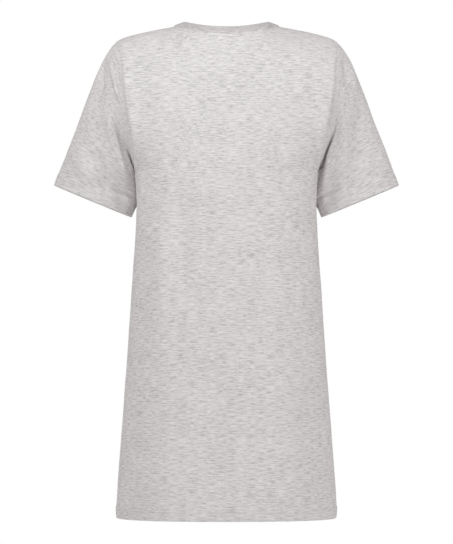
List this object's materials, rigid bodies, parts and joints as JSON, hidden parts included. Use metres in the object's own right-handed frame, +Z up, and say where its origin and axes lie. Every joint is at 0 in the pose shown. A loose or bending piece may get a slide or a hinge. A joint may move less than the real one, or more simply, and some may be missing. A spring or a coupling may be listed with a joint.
{
  "type": "nightshirt",
  "caption": "Short-sleeved A-line jersey nightshirt with a crew neckband, open and hollow as if worn.",
  "frame": {"origin": "midway between the two shoulder ends of the neck seam, where the wearer's shoulders carry it", "axes": "+Z up, the back faces -Y and the front faces +Y, +X toward the wearer's right sleeve"},
  "size_m": [0.6098, 0.2973, 0.8726],
  "materials": {
    "back_panel_jersey": "matte",
    "front_panel_jersey": "matte",
    "sleeve_left_jersey": "matte",
    "sleeve_right_jersey": "matte",
    "neckband_jersey": "matte"
  },
  "bodies": {
    "root": {"back_panel": "back_panel_jersey", "front_panel": "front_panel_jersey", "sleeve_left": "sleeve_left_jersey", "sleeve_right": "sleeve_right_jersey", "neckband": "neckband_jersey"}
  },
  "joints": []
}
